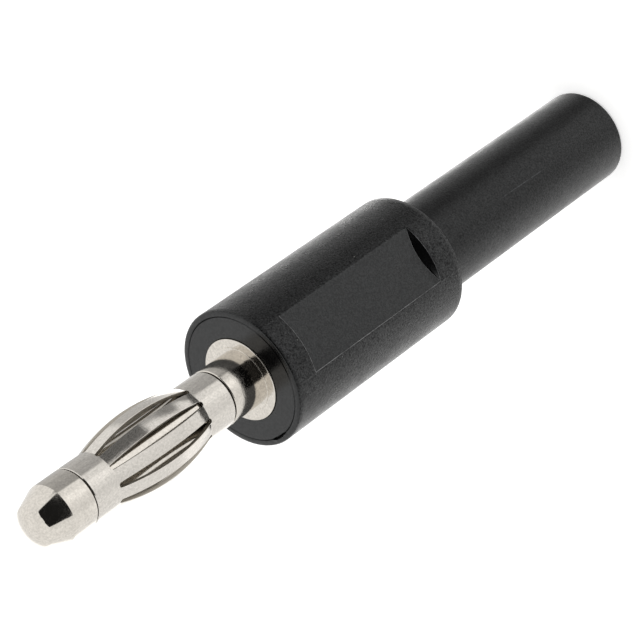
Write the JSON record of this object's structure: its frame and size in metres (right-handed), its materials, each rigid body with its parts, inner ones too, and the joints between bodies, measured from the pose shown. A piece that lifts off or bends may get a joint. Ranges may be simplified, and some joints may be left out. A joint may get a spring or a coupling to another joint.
{
  "type": "banana plug",
  "caption": "Sprung 4 mm plug with a bowed lantern contact on a nickel pin, a black grip with finger flats, and an insulated 4 mm socket in its long tail sleeve.",
  "frame": {"origin": "centre of the tail sleeve's rear end, on the surface that the plug stands on", "axes": "+Z along the plug's axis, from the tail to the nose; the first finger flat faces -Y"},
  "size_m": [0.0094, 0.0094, 0.057],
  "materials": {
    "grip_plastic": "black moulding with a fine sandy grain, smooth on the flats and the front face",
    "sleeve_plastic": "black moulding, satin",
    "nickel": "turned brass, nickel plated, bright",
    "spring_nickel": "rolled copper alloy sheet, nickel plated, satin"
  },
  "bodies": {
    "plug": {"grip_body": "grip_plastic", "rear_sleeve": "sleeve_plastic", "socket_contact": "nickel", "contact_pin": "nickel"},
    "cage": {"contact_cage": "spring_nickel"}
  },
  "joints": [
    {"name": "cage_turn", "type": "hinge", "parent": "plug", "child": "cage", "pos_m": [0, 0, 0.04704], "axis": [0, 0, 1], "continuous": true}
  ]
}
